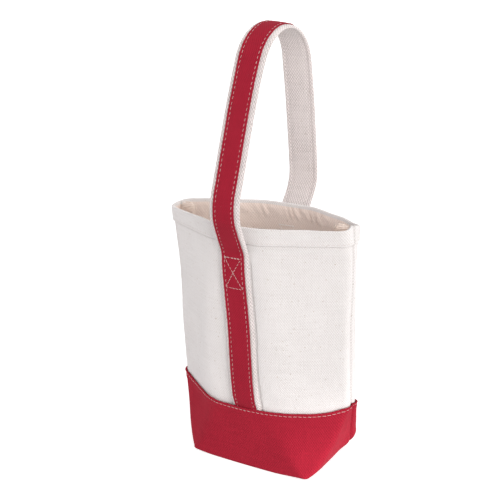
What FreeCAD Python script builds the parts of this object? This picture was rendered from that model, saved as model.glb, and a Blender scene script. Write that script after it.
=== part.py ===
import FreeCAD
import Part
import Sketcher
import math
import os

# A soft canvas bottle tote. Two natural canvas panels make the bag, a red canvas boot wraps its base,
# and one long strap with a narrower red trim runs up the front, over as the handle and down the back.
# The bag stands on z = 0 with its middle on the Z axis. The front panel faces -Y. Lengths are in mm.

SIZES = {
    # Heights above the surface that the bag stands on
    "rim_height": 280,
    "boot_height": 70,
    "belly_rise_share": 0.55,
    # The strap leaves the panel this far below the rim, at the top of its box stitch
    "release_drop": 34,
    # Plan of the panels' outer face at five levels. The front and back are flat over front_flat to each
    # side of the middle, the sides over side_flat, and slanting faces join their rounded corners.
    "foot_half_width": 80,
    "foot_half_depth": 56,
    "foot_front_flat": 70,
    "foot_front_radius": 7,
    "foot_side_flat": 40,
    "foot_side_radius": 5,
    "cuff_half_width": 113,
    "cuff_half_depth": 50,
    "cuff_front_flat": 38,
    "cuff_front_radius": 29,
    "cuff_side_flat": 2,
    "cuff_side_radius": 4.5,
    "belly_half_width": 105.5,
    "belly_half_depth": 55,
    "belly_front_flat": 28,
    "belly_front_radius": 44,
    "belly_side_flat": 9,
    "belly_side_radius": 14.5,
    "shoulder_half_width": 111.5,
    "shoulder_half_depth": 51.5,
    "shoulder_front_flat": 20,
    "shoulder_front_radius": 54,
    "shoulder_side_flat": 5,
    "shoulder_side_radius": 11.5,
    "rim_half_width": 112.5,
    "rim_half_depth": 50.5,
    "rim_front_flat": 17.5,
    "rim_front_radius": 59.5,
    "rim_side_flat": 6.5,
    "rim_side_radius": 12,
    # Cloth
    "canvas_thickness": 1.6,
    "boot_thickness": 1.6,
    "layer_gap": 0.2,
    "hem_depth": 20,
    "hem_fold": 1.4,
    "seam_thickness": 3.6,
    "seam_width": 9,
    # Strap and trim
    "strap_width": 38,
    "strap_thickness": 3,
    "trim_width": 28,
    "trim_thickness": 1,
    # Run of the strap's middle layer: it bows out beside the rim, leans in and turns over at the top,
    # where the grip hangs a little towards the back
    "bend_radius": 20,
    "bulge_reach": 27,
    "bulge_rise": 28,
    "bulge_radius": 45,
    "grip_radius": 46,
    "grip_shift": 14,
    "handle_rise": 204,
    # Room past the cloth for the boxes that trim it
    "overrun": 20,
}

# Sums of the sizes that several pieces share
RELEASE_HEIGHT = "sizes.rim_height - sizes.release_drop"
BELLY_HEIGHT = (f"sizes.boot_height + ({RELEASE_HEIGHT} - sizes.boot_height)"
                " * sizes.belly_rise_share")
BULGE_HEIGHT = "sizes.rim_height + sizes.bulge_rise"
BOOT_INNER = "-sizes.layer_gap"
BOOT_OUTER = "-sizes.layer_gap - sizes.boot_thickness"
STRAP_OUTER = "-sizes.layer_gap - sizes.strap_thickness"
TRIM_INNER = f"{STRAP_OUTER} - sizes.layer_gap"
TRIM_OUTER = f"{TRIM_INNER} - sizes.trim_thickness"
TRIM_OFFSET = "(sizes.strap_thickness + sizes.trim_thickness) / 2 + sizes.layer_gap"
RELEASE_REACH = "sizes.shoulder_half_depth + sizes.layer_gap + sizes.strap_thickness / 2"
SIDE_REACH = "sizes.rim_half_width + sizes.overrun"
DEPTH_REACH = "sizes.belly_half_depth + sizes.overrun"

doc = FreeCAD.newDocument("bottle_tote")
sheet = doc.addObject("Spreadsheet::Sheet", "sizes")
for row, (alias, number) in enumerate(SIZES.items(), start=1):
    sheet.set(f"A{row}", alias)
    sheet.set(f"B{row}", str(number))
    sheet.setAlias(f"B{row}", alias)
doc.recompute()


def size(expression):
    """The present value of a sum of sheet sizes."""
    return float(sheet.evalExpression(expression))


def bind(sketch, kind, places, expression):
    """Adds a dimension to a sketch and ties it to the sheet."""
    index = sketch.addConstraint(Sketcher.Constraint(kind, *places, size(expression)))
    sketch.setExpression(f"Constraints[{index}]", expression)


def add_line(sketch, start, end):
    return sketch.addGeometry(Part.LineSegment(FreeCAD.Vector(*start), FreeCAD.Vector(*end)))


def add_arc(sketch, across, up, radius, first, last):
    """Draws an arc between two angles in degrees, with its centre and radius tied to the sheet.
    Gives its number and which of its ends is the first and the last."""
    centre = FreeCAD.Vector(size(across), size(up), 0)
    circle = Part.Circle(centre, FreeCAD.Vector(0, 0, 1), size(radius))
    low, high = sorted((first, last))
    arc = sketch.addGeometry(Part.ArcOfCircle(circle, math.radians(low), math.radians(high)))
    bind(sketch, "DistanceX", (-1, 1, arc, 3), across)
    bind(sketch, "DistanceY", (-1, 1, arc, 3), up)
    bind(sketch, "Radius", (arc,), radius)
    ends = (1, 2) if first == low else (2, 1)
    return arc, *ends


def join_tangent(sketch, first, second):
    """Line from one arc's end to another's, tangent to both. Each end is an arc and its point."""
    line = add_line(sketch, sketch.getPoint(*first), sketch.getPoint(*second))
    sketch.addConstraint(Sketcher.Constraint("Tangent", *first, line, 1))
    sketch.addConstraint(Sketcher.Constraint("Tangent", *second, line, 2))


def section(name, level, height, inset, narrowing):
    """Plan of the bag at one level, moved inwards by an inset, with its sides drawn in by a narrowing."""
    half_width = f"sizes.{level}_half_width - ({narrowing})"
    front_flat = f"sizes.{level}_front_flat - ({narrowing})"
    front = (front_flat, f"sizes.{level}_half_depth - sizes.{level}_front_radius")
    side = (f"{half_width} - sizes.{level}_side_radius", f"sizes.{level}_side_flat")
    front_radius = f"sizes.{level}_front_radius - ({inset})"
    side_radius = f"sizes.{level}_side_radius - ({inset})"
    across = size(side[0]) - size(front[0])
    along = size(front[1]) - size(side[1])
    closing = (size(front_radius) - size(side_radius)) / math.hypot(across, along)
    slant = 90 - math.degrees(math.atan2(along, across) + math.asin(closing))

    sketch = doc.addObject("Sketcher::SketchObject", name)
    sketch.setExpression("Placement.Base.z", height)
    quarters = []
    for turn, (x_sign, y_sign) in enumerate(((1, 1), (-1, 1), (-1, -1), (1, -1))):
        front_place = (f"{x_sign} * ({front[0]})", f"{y_sign} * ({front[1]})", front_radius)
        side_place = (f"{x_sign} * ({side[0]})", f"{y_sign} * ({side[1]})", side_radius)
        flat, middle, edge = 90, slant, 0
        if turn % 2:
            flat, middle, edge = 0, 90 - slant, 90
        turned = 90 * turn
        front_arc = add_arc(sketch, *front_place, turned + flat, turned + middle)
        side_arc = add_arc(sketch, *side_place, turned + middle, turned + edge)
        join_tangent(sketch, (front_arc[0], front_arc[2]), (side_arc[0], side_arc[1]))
        quarters.append(((front_arc[0], front_arc[1]), (side_arc[0], side_arc[2])))
    for index, opposite in ((0, 1), (2, 3)):
        join_tangent(sketch, quarters[index][0], quarters[opposite][0])
    for index, opposite in ((1, 2), (3, 0)):
        join_tangent(sketch, quarters[index][1], quarters[opposite][1])
    return sketch


def form(name, inset, narrowing, heights, ruled):
    loft = doc.addObject("Part::Loft", name)
    loft.Sections = [
        section(f"{name}_{level}", level, height, inset, narrowing) for level, height in heights.items()
    ]
    loft.Solid = True
    loft.Ruled = ruled
    return loft


def foot_form(name, inset, narrowing="0"):
    """Solid of the boxed base: straight creases from the foot's corners to the boot's top edge."""
    heights = {"foot": f"sizes.boot_thickness + sizes.layer_gap + ({inset})", "cuff": "sizes.boot_height"}
    return form(f"{name}_foot", inset, narrowing, heights, True)


def body_form(name, inset, narrowing="0"):
    """Solid of the soft body from the boot's top edge to the rim."""
    heights = {"cuff": "sizes.boot_height", "belly": BELLY_HEIGHT, "shoulder": RELEASE_HEIGHT,
               "rim": "sizes.rim_height"}
    return form(f"{name}_body", inset, narrowing, heights, False)


def combine(kind, name, base, tool):
    result = doc.addObject(f"Part::{kind}", name)
    result.Base = base
    result.Tool = tool
    return result


def whole_form(name, inset, narrowing="0"):
    foot = foot_form(name, inset, narrowing)
    return combine("Fuse", f"{name}_form", foot, body_form(name, inset, narrowing))


def box(name, low, high):
    """Box between two corners, each given as three sums of sizes."""
    block = doc.addObject("Part::Box", name)
    for axis, side, start, end in zip("xyz", ("Length", "Width", "Height"), low, high):
        block.setExpression(f"Placement.Base.{axis}", start)
        block.setExpression(side, f"({end}) - ({start})")
    return block


def half_box(name, side, half_width, low, high):
    """Box over the front (-1) or back (1) half of the bag."""
    start, end = ("0", DEPTH_REACH) if side > 0 else (f"-({DEPTH_REACH})", "0")
    return box(name, (f"-({half_width})", start, low), (half_width, end, high))


def make_boot():
    """Red canvas cup round the base, open at the top."""
    return combine("Cut", "boot", foot_form("boot_outside", BOOT_OUTER), foot_form("boot_inside", BOOT_INNER))


def make_panels():
    """Front and back canvas, joined at y = 0, with the hem folded proud round the rim."""
    hem_foot = "sizes.rim_height - sizes.hem_depth"
    hem_limit = box("hem_limit", (f"-({SIDE_REACH})", f"-({DEPTH_REACH})", hem_foot),
                    (SIDE_REACH, DEPTH_REACH, "sizes.rim_height"))
    hem = combine("Common", "hem", body_form("hem_outside", "-sizes.hem_fold"), hem_limit)
    outside = combine("Fuse", "bag_block", whole_form("bag_outside", "0"), hem)
    wall = combine("Cut", "bag_wall", outside, whole_form("bag_inside", "sizes.canvas_thickness"))
    panels = []
    for side, word in ((-1, "front"), (1, "back")):
        half = half_box(f"{word}_half", side, SIDE_REACH, "0", "sizes.rim_height")
        panels.append(combine("Common", f"{word}_panel", wall, half))
    return panels


def make_side_seams():
    """Overlocked edges of the panels, standing inwards from each side from the base to the rim."""
    inset = "sizes.canvas_thickness + sizes.layer_gap"
    outside = whole_form("seam_outside", inset)
    inside = whole_form("seam_inside", inset, "sizes.seam_width")
    seams = []
    for side, word in ((-1, "left"), (1, "right")):
        start, end = ("0", SIDE_REACH) if side > 0 else (f"-({SIDE_REACH})", "0")
        strip = box(f"{word}_seam_limit", (start, "-sizes.seam_thickness / 2", "0"),
                    (end, "sizes.seam_thickness / 2", "sizes.rim_height"))
        layer = combine("Common", f"{word}_seam_layer", outside, strip)
        seams.append(combine("Cut", f"{word}_side_seam", layer, inside))
    return seams


def make_sewn_strips(word, width, inner, outer):
    """Front and back lengths of a strip that lie on the panels, from the boot to the box stitch."""
    outside = body_form(f"{word}_outside", outer)
    layer = combine("Cut", f"{word}_layer", outside, body_form(f"{word}_inside", inner))
    strips = []
    for side, face in ((-1, "front"), (1, "back")):
        limit = half_box(f"{face}_{word}_limit", side, f"{width} / 2", "sizes.boot_height + sizes.layer_gap",
                         RELEASE_HEIGHT)
        strips.append(combine("Common", f"{face}_{word}", layer, limit))
    return strips


def attached_sketch(body, name, role):
    """Sketch on one of the body's origin planes."""
    sketch = body.newObject("Sketcher::SketchObject", f"{body.Name}_{name}")
    plane = next(plane for plane in body.Origin.OriginFeatures if plane.Role == role)
    sketch.AttachmentSupport = (plane, "")
    sketch.MapMode = "FlatFace"
    return sketch


def strip_section(body, width, thickness, reach, height):
    """Cross-section of a strip at its front end, where it runs straight up."""
    sketch = attached_sketch(body, "section", "XY_Plane")
    sketch.setExpression("AttachmentOffset.Base.z", height)
    half = size(width) / 2
    near = size(thickness) / 2 - size(reach)
    far = -size(thickness) / 2 - size(reach)
    corners = [(-half, far, 0), (half, far, 0), (half, near, 0), (-half, near, 0)]
    lines = [add_line(sketch, start, end) for start, end in zip(corners, corners[1:] + corners[:1])]
    for index, line in enumerate(lines):
        sketch.addConstraint(Sketcher.Constraint("Coincident", line, 2, lines[(index + 1) % len(lines)], 1))
        sketch.addConstraint(Sketcher.Constraint("Vertical" if index % 2 else "Horizontal", line))
    bind(sketch, "DistanceX", (-1, 1, lines[0], 1), f"-{width} / 2")
    bind(sketch, "DistanceX", (-1, 1, lines[0], 2), f"{width} / 2")
    bind(sketch, "DistanceY", (-1, 1, lines[0], 1), f"-({reach}) - {thickness} / 2")
    bind(sketch, "DistanceY", (-1, 1, lines[2], 1), f"-({reach}) + {thickness} / 2")
    return sketch


def sweep(body, profile, path):
    pipe = body.newObject("PartDesign::AdditivePipe", f"{body.Name}_sweep")
    pipe.Profile = profile
    pipe.Spine = path
    return body


def make_bends(word, width, thickness, offset):
    """Stretches of a strip between the box stitch and the bulge beside the rim: each turns outwards,
    runs straight and turns up again. The offset is the strip's distance outside the strap's middle."""
    body = doc.addObject("PartDesign::Body", f"front_{word}_bend")
    path = attached_sketch(body, "path", "YZ_Plane")
    low_across = f"-({RELEASE_REACH} + sizes.bend_radius)"
    high_across = f"-({RELEASE_REACH} + sizes.bulge_reach - sizes.bulge_radius)"
    low_radius = f"sizes.bend_radius - ({offset})"
    high_radius = f"sizes.bulge_radius + ({offset})"
    across = size(high_across) - size(low_across)
    up = size(BULGE_HEIGHT) - size(RELEASE_HEIGHT)
    both = size(low_radius) + size(high_radius)
    turn = math.degrees(math.asin(both / math.hypot(across, up)) - math.atan2(across, up))
    low_arc, low_start, low_end = add_arc(path, low_across, RELEASE_HEIGHT, low_radius, 0, turn)
    high_arc, high_start, high_end = add_arc(path, high_across, BULGE_HEIGHT, high_radius, 180 + turn, 180)
    join_tangent(path, (low_arc, low_end), (high_arc, high_start))
    path.addConstraint(Sketcher.Constraint("Horizontal", low_arc, low_start, low_arc, 3))
    path.addConstraint(Sketcher.Constraint("Horizontal", high_arc, high_end, high_arc, 3))
    profile = strip_section(body, width, thickness, f"{RELEASE_REACH} + {offset}", RELEASE_HEIGHT)
    back = doc.addObject("Part::Mirroring", f"back_{word}_bend")
    back.Source = sweep(body, profile, path)
    back.Normal = FreeCAD.Vector(0, 1, 0)
    return body, back


def make_handle(word, width, thickness, offset):
    """Free loop of a strip from the front bulge over the grip to the back bulge."""
    body = doc.addObject("PartDesign::Body", f"handle_{word}")
    path = attached_sketch(body, "path", "YZ_Plane")
    reach = f"{RELEASE_REACH} + sizes.bulge_reach"
    bulge_across = f"{reach} - sizes.bulge_radius"
    bulge_radius = f"sizes.bulge_radius + ({offset})"
    grip_height = "sizes.rim_height + sizes.handle_rise - sizes.grip_radius"
    grip_radius = f"sizes.grip_radius + ({offset})"
    up = size(grip_height) - size(BULGE_HEIGHT)
    leans = {}
    for side in (-1, 1):
        across = size(bulge_across) - side * size("sizes.grip_shift")
        closing = (size(grip_radius) - size(bulge_radius)) / math.hypot(across, up)
        leans[side] = math.degrees(math.atan2(across, up) - math.asin(closing))
    grip, grip_back, grip_front = add_arc(
        path, "sizes.grip_shift", grip_height, grip_radius, leans[1], 180 - leans[-1])
    for side, grip_end in ((-1, grip_front), (1, grip_back)):
        turns = (0, leans[side]) if side > 0 else (180, 180 - leans[side])
        bulge, foot, top = add_arc(path, f"{side} * ({bulge_across})", BULGE_HEIGHT, bulge_radius, *turns)
        join_tangent(path, (bulge, top), (grip, grip_end))
        path.addConstraint(Sketcher.Constraint("Horizontal", bulge, foot, bulge, 3))
    profile = strip_section(body, width, thickness, f"{reach} + {offset}", BULGE_HEIGHT)
    return sweep(body, profile, path)


def make_strip(word, width, thickness, offset, inner, outer):
    """All lengths of one strip: sewn to the panels, bending at the rim and free as the handle."""
    sewn = make_sewn_strips(word, width, inner, outer)
    bends = make_bends(word, width, thickness, offset)
    return [*sewn, *bends, make_handle(word, width, thickness, offset)]


nodes = [make_boot(), *make_panels(), *make_side_seams()]
nodes += make_strip("strap", "sizes.strap_width", "sizes.strap_thickness", "0", BOOT_INNER, STRAP_OUTER)
nodes += make_strip("trim", "sizes.trim_width", "sizes.trim_thickness", TRIM_OFFSET, TRIM_INNER, TRIM_OUTER)
for node in nodes:
    node.Label = node.Name
doc.recompute()

for item in doc.Objects:
    if "Invalid" in item.State or "Error" in item.State:
        raise RuntimeError(f"{item.Name} failed to build")
for node in nodes:
    if node.Shape.isNull() or not node.Shape.isValid() or len(node.Shape.Solids) != 1:
        raise RuntimeError(f"{node.Label} is not one valid solid")

for girth in ("bag_outside_foot_cuff", "bag_outside_body_belly", "bag_outside_body_rim"):
    print(girth, round(doc.getObject(girth).Shape.Length), "mm round")
os.makedirs("parts", exist_ok=True)
for node in nodes:
    node.Shape.exportStep(f"parts/{node.Label}.step")
    print(node.Label, round(node.Shape.Volume), "mm3")
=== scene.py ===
import math

import bpy
import numpy as np
from mathutils import Matrix


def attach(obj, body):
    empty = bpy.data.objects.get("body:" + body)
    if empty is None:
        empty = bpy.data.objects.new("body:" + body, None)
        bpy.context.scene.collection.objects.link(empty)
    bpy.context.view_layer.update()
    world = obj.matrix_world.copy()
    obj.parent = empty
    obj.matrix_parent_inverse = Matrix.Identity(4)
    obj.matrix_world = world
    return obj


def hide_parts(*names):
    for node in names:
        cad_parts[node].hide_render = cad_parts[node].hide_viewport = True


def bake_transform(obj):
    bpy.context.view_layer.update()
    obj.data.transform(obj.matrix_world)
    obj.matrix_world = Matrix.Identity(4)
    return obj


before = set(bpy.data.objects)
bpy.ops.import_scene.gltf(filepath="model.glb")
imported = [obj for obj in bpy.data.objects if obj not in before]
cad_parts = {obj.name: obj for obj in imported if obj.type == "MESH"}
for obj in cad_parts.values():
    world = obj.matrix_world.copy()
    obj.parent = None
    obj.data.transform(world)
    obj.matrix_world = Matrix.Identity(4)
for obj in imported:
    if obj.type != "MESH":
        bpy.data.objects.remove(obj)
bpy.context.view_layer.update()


# Panels
# Two heavy undyed canvas panels, front and back, sewn to each other down the sides and along the bottom.
# The top edge is turned out to a flat hem round the mouth, and the stiff cloth stands open by itself.
RIM_HEIGHT = 0.280
RELEASE_HEIGHT = 0.246
BELLY_HEIGHT = 0.1668
BOOT_HEIGHT = 0.070
FOOT_HEIGHT = 0.0018
CANVAS_THICKNESS = 0.0016
HEM_DEPTH = 0.0178
HEM_FOLD = 0.0017
HEM_EDGE_RADIUS = 0.0005
HEM_UNDERCUT = 0.0009
HEM_ROW_RISE = 0.0022
FOOT_BEND = 0.0030
# Plans of the outer face: half width, half depth, front flat, front radius, side flat, side radius
FOOT_PLAN = np.array((0.0766, 0.0565, 0.0716, 0.0045, 0.0493, 0.0045))
CUFF_PLAN = np.array((0.1095, 0.051, 0.022, 0.070, 0.004, 0.009))
BELLY_PLAN = np.array((0.1093, 0.055, 0.028, 0.044, 0.0064, 0.009))
SHOULDER_PLAN = np.array((0.1133, 0.0515, 0.020, 0.054, 0.005, 0.0115))
RIM_PLAN = np.array((0.1125, 0.0505, 0.0175, 0.0595, 0.010, 0.010))
BODY_PLANS = (CUFF_PLAN, BELLY_PLAN, SHOULDER_PLAN, RIM_PLAN)
BODY_HEIGHTS = (BOOT_HEIGHT, BELLY_HEIGHT, RELEASE_HEIGHT, RIM_HEIGHT)
BODY_CURVES = np.polyfit(BODY_HEIGHTS, BODY_PLANS, len(BODY_PLANS) - 1)
SIDE_FULLNESS = 0.0016
FOOT_EASE_SHARES = np.array((0.72, 1.0, 0.9, 1.8, 0.9, 1.0))
FOOT_SHIFT = 0.0034
FOOT_SKEW_SHARE = 0.065
FOOT_BOW = 0.0019
CORNER_LIFT, CORNER_TOP = 0.0015, 0.024
CORNER_START_SHARE = 0.55
CREASE_REACH = 0.004
FOOT_SOFT_SHARE, WALL_SOFT_SHARE = 0.3, 4
SOFT_WINDOW_SHARE = 3
FLAT_STEPS, CORNER_STEPS, SLANT_STEPS, TIP_STEPS, SIDE_STEPS = 30, 50, 40, 10, 26
RING_STEPS = 801
FRONT, BACK, LEFT, RIGHT = -1, 1, -1, 1


def plan_outline(plan):
    """Front half of the bag at one level, from the left seam to the right: x, y and outward normal."""
    half_width, half_depth, front_flat, front_radius, side_flat, side_radius = plan
    front_y = half_depth - front_radius
    side_x = half_width - side_radius
    closing = (front_radius - side_radius) / math.hypot(side_x - front_flat, front_y - side_flat)
    slant = math.atan2(front_y - side_flat, side_x - front_flat) + math.asin(closing)
    corner = np.linspace(0, slant, CORNER_STEPS)
    tip = np.linspace(slant, math.pi / 2, TIP_STEPS)
    corner_x = front_flat + front_radius * np.sin(corner)
    corner_y = front_y + front_radius * np.cos(corner)
    tip_x = side_x + side_radius * np.sin(tip)
    tip_y = side_flat + side_radius * np.cos(tip)
    between = np.linspace(0, 1, SLANT_STEPS + 2)[1:-1]
    flat = np.linspace(0, 1, FLAT_STEPS, endpoint=False)
    down_side = np.linspace(1, 0, SIDE_STEPS + 1)[1:]
    across = (front_flat * flat, corner_x, corner_x[-1] + (tip_x[0] - corner_x[-1]) * between, tip_x,
              np.full(SIDE_STEPS, half_width))
    depth = (np.full(FLAT_STEPS, half_depth), corner_y, corner_y[-1] + (tip_y[0] - corner_y[-1]) * between,
             tip_y, side_flat * down_side)
    turn = np.concatenate((np.zeros(FLAT_STEPS), corner, np.full(SLANT_STEPS, slant), tip,
                           np.full(SIDE_STEPS, math.pi / 2)))
    right = np.stack((np.concatenate(across), -np.concatenate(depth), np.sin(turn), -np.cos(turn)), axis=1)
    left = right[:0:-1] * (-1, 1, -1, 1)
    return np.concatenate((left, right))


def read_along(at, along, rows):
    """Rows of values read at distances along a run."""
    return np.stack([np.interp(at, along, column) for column in rows.T], axis=1)


def soften(outline, reach):
    """Rounds an outline's corners by averaging it along its run. The other half of the bag mirrors it."""
    steps = np.hypot(np.diff(outline[:, 0]), np.diff(outline[:, 1]))
    along = np.concatenate(([0], np.cumsum(steps)))
    even = np.linspace(0, along[-1], RING_STEPS)
    pad = round(SOFT_WINDOW_SHARE * reach / even[1])
    if pad == 0:
        return outline
    window = np.exp(-(np.arange(-pad, pad + 1) * even[1] / reach) ** 2 / 2)
    x, y = read_along(even, along, outline[:, :2]).T
    soft_x = np.convolve(np.concatenate((x[pad:0:-1], x, x[-2:-pad - 2:-1])), window, "valid")
    soft_y = np.convolve(np.concatenate((-y[pad:0:-1], y, -y[-2:-pad - 2:-1])), window, "valid")
    soft_x *= x.max() / soft_x.max()
    soft_y *= y.min() / soft_y.min()
    ahead_x, ahead_y = np.gradient(soft_x), np.gradient(soft_y)
    pace = np.hypot(ahead_x, ahead_y)
    return read_along(along, even, np.stack((soft_x, soft_y, ahead_y / pace, -ahead_x / pace), axis=1))


def bag_ring(height):
    """Outline of the panels' outer face at a height: creases that fade up the boot, soft curves above."""
    if height >= BOOT_HEIGHT:
        plan = np.polyval(BODY_CURVES, height)
        rise = min((height - BOOT_HEIGHT) / (BELLY_HEIGHT - BOOT_HEIGHT), 1)
        plan[0] += SIDE_FULLNESS * math.sin(math.pi * rise)
        return plan_outline(plan)
    share = max(height - FOOT_HEIGHT, 0) / (BOOT_HEIGHT - FOOT_HEIGHT)
    shares = share ** FOOT_EASE_SHARES
    outline = plan_outline(FOOT_PLAN * (1 - shares) + CUFF_PLAN * shares)
    outline = soften(outline, CREASE_REACH * (WALL_SOFT_SHARE * share + FOOT_SOFT_SHARE) * (1 - share))
    outline[:, 0] += FOOT_SHIFT * (1 - share)
    return outline


def ease(values, start, end):
    """0 before start, 1 after end and a smooth rise between them."""
    share = np.clip((values - start) / (end - start), 0, 1)
    return share * share * (3 - 2 * share)


def hump(values, width):
    """1 at zero, fading smoothly to both sides over a width."""
    return np.exp(-(values / width) ** 2)


RIPPLE_WAVES = 7
RIPPLE_PITCH_SHARES = (0.7, 1.4)


def ripple(across, along, wave_length, seed):
    """Soft uneven waves of about one wave length, mostly between -1 and 1."""
    chance = np.random.default_rng(seed)
    total = 0
    for _ in range(RIPPLE_WAVES):
        heading, phase = chance.uniform(0, 2 * math.pi, 2)
        pitch = wave_length * chance.uniform(*RIPPLE_PITCH_SHARES)
        run = across * math.cos(heading) + along * math.sin(heading)
        total = total + np.sin(2 * math.pi / pitch * run + phase)
    return total / math.sqrt(RIPPLE_WAVES)


BROAD_SLACK, BROAD_WAVE = 0.0010, 0.090
SMALL_SLACK, SMALL_WAVE = 0.00018, 0.024
PUCKER, PUCKER_WAVE, PUCKER_SPREAD = 0.0006, 0.0115, 0.004
PUCKER_SLOPE_SHARE, PUCKER_UNEVEN_SHARE = 0.5, 0.5
PUCKER_DRIFT_SHARE, PUCKER_TURN = 4, 2
HEM_PAD = 0.0008
SEAM_HOLD, STRAP_HOLD = 0.014, 0.026
STRAP_HOLD_SHARE = 0.9
SLACK_START, SLACK_FULL = 0.004, 0.050
SLACK_SEED, SMALL_SEED, PUCKER_SEED, RIM_SEED = 20, 30, 40, 50
EAR, EAR_BEHIND, EAR_WIDTH, EAR_HEIGHT, EAR_SPREAD = 0.0048, 0.022, 0.018, 0.019, 0.013
UNDERCUT, UNDERCUT_BEHIND, UNDERCUT_WIDTH, UNDERCUT_SPREAD = 0.0085, 0.048, 0.030, 0.011
UNDERCUT_START = 0.020
SEAM_DRIFT, DRIFT_HEIGHT = 0.030, 0.072


def slack(around, from_seam, height, side):
    """How far the cloth stands off its form in broad hollows and small buckles."""
    broad = BROAD_SLACK * ripple(around, height, BROAD_WAVE, SLACK_SEED + side)
    small = SMALL_SLACK * ripple(around, height, SMALL_WAVE, SMALL_SEED + side)
    held = (1 - hump(from_seam, SEAM_HOLD)) * (1 - STRAP_HOLD_SHARE * hump(around, STRAP_HOLD))
    return (broad + small) * held * ease(height, SLACK_START, SLACK_FULL)


def ear(behind, height):
    """How far the soft ears at the rear corners of the base swell out."""
    swell = EAR * hump(behind - EAR_BEHIND, EAR_WIDTH) * hump(height - EAR_HEIGHT, EAR_SPREAD)
    return swell * ease(behind, 0, EAR_BEHIND)


def undercut(behind, height):
    """How far the rear corners of the base tuck in under their ears, along and across the bag alike."""
    under = UNDERCUT * hump(behind - UNDERCUT_BEHIND, UNDERCUT_WIDTH) * hump(height, UNDERCUT_SPREAD)
    return under * ease(behind, 0, UNDERCUT_START)


def pucker(around, height, side):
    """Slanting puckers on the padded inside of the hem, drawn up by its row of stitches."""
    uneven = ripple(around, 0, PUCKER_DRIFT_SHARE * PUCKER_WAVE, PUCKER_SEED + side)
    run = around - PUCKER_SLOPE_SHARE * (RIM_HEIGHT - height)
    waves = np.sin(2 * math.pi / PUCKER_WAVE * run + PUCKER_TURN * uneven)
    waves = waves * (1 + PUCKER_UNEVEN_SHARE * uneven)
    hem_foot = RIM_HEIGHT - HEM_DEPTH
    start = ease(height, hem_foot - PUCKER_SPREAD, hem_foot + PUCKER_SPREAD)
    return (PUCKER * waves + HEM_PAD) * start * (1 - ease(height, RIM_HEIGHT - PUCKER_SPREAD, RIM_HEIGHT))


TUCK_DEPTH, TUCK_WIDTH, TUCK_HEIGHT, TUCK_SPREAD = 0.0034, 0.027, 0.062, 0.014
RECESS, RECESS_START, RECESS_END = 0.0015, 0.064, 0.068
SEAM_RECESS, SEAM_RECESS_WIDTH = 0.0035, 0.016
EDGE_LIFT, EDGE_LIFT_WIDTH = 0.0065, 0.026


def edge_lift(behind):
    """How far the boot's edge rises towards the side seams."""
    return EDGE_LIFT * hump(behind, EDGE_LIFT_WIDTH)


def tuck(around, behind, height):
    """How far the panel is pressed in under the boot, most of all by the strap's end."""
    hollow = TUCK_DEPTH * hump(around, TUCK_WIDTH) ** 2 * hump(height - TUCK_HEIGHT, TUCK_SPREAD)
    recess = RECESS + SEAM_RECESS * hump(behind, SEAM_RECESS_WIDTH)
    return hollow + recess * (1 - ease(height - edge_lift(behind), RECESS_START, RECESS_END))


GROOVE_DEPTH, GROOVE_WIDTH, GROOVE_LOW_SHARE = 0.0024, 0.0015, 1.1
RIM_WAVE, RIM_WAVE_LENGTH, RIM_HOLD = 0.0003, 0.050, 0.020
RIM_CORNER, RIM_CORNER_WIDTH = 0.0015, 0.010
RIM_DIP, RIM_DIP_BEHIND, RIM_DIP_WIDTH = 0.0032, 0.024, 0.016


def bag_cloth(side, heights, reaches):
    """Rows of cloth round one half of the bag at the given heights, each standing off the outer face.
    Gives points, outward normals, the distance round from the middle and how far behind the side seam."""
    heights = np.asarray(heights, float)[:, None]
    reaches = np.asarray(reaches, float)[:, None]
    rings = np.array([bag_ring(height) for height in heights[:, 0]])
    ring_x, ring_y, out_x, out_y = np.moveaxis(rings, 2, 0)
    steps = np.hypot(np.diff(ring_x), np.diff(ring_y))
    along = np.concatenate((np.zeros((len(rings), 1)), np.cumsum(steps, axis=1)), axis=1)
    from_seam = np.minimum(along, along[:, -1:] - along)
    around = along - along[:, -1:] / 2
    behind = side * from_seam
    off = reaches + slack(around, from_seam, heights, side) + ear(behind, heights)
    seam_drift = SEAM_DRIFT * np.clip(1 - heights / DRIFT_HEIGHT, 0, 1)
    low = np.clip(1 - heights / BOOT_HEIGHT, 0, 1)
    groove = 1 + GROOVE_LOW_SHARE * low
    off = off - GROOVE_DEPTH * groove * hump((behind - seam_drift) / groove, GROOVE_WIDTH)
    foot_width, foot_depth, foot_flat = FOOT_PLAN[:3]
    off = off + FOOT_BOW * np.clip(1 - (around / foot_flat) ** 2, 0, 1) * low
    under = undercut(behind, heights)
    y = -side * (ring_y + out_y * off + under)
    x = ring_x + out_x * off - np.sign(ring_x) * under - FOOT_SKEW_SHARE * low * y
    wave = RIM_WAVE * ripple(around, 0, RIM_WAVE_LENGTH, RIM_SEED + side) * (1 - hump(from_seam, RIM_HOLD))
    wave = wave + RIM_CORNER * hump(from_seam, RIM_CORNER_WIDTH)
    wave = wave - RIM_DIP * hump(behind - RIM_DIP_BEHIND, RIM_DIP_WIDTH) * (around > 0)
    cornered = np.abs(x * y) / (foot_width * foot_depth)
    lift = CORNER_LIFT * ease(cornered, CORNER_START_SHARE, 1) * (1 - ease(heights, 0, CORNER_TOP))
    z = heights + wave * ease(heights, RIM_HEIGHT - HEM_DEPTH, RIM_HEIGHT) + lift
    points = np.stack((x, y, z + 0 * x), axis=2)
    normals = np.stack((out_x, -side * out_y, 0 * x), axis=2)
    return points, normals / np.linalg.norm(normals, axis=2, keepdims=True), around, behind


def base_rows(ring, shares):
    """Rows of cloth from the foot of a wall to the seam along the middle of the base."""
    rows = np.repeat(ring[None], len(shares), axis=0)
    rows[:, :, 1] *= 1 - np.asarray(shares)[:, None]
    return rows


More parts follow.
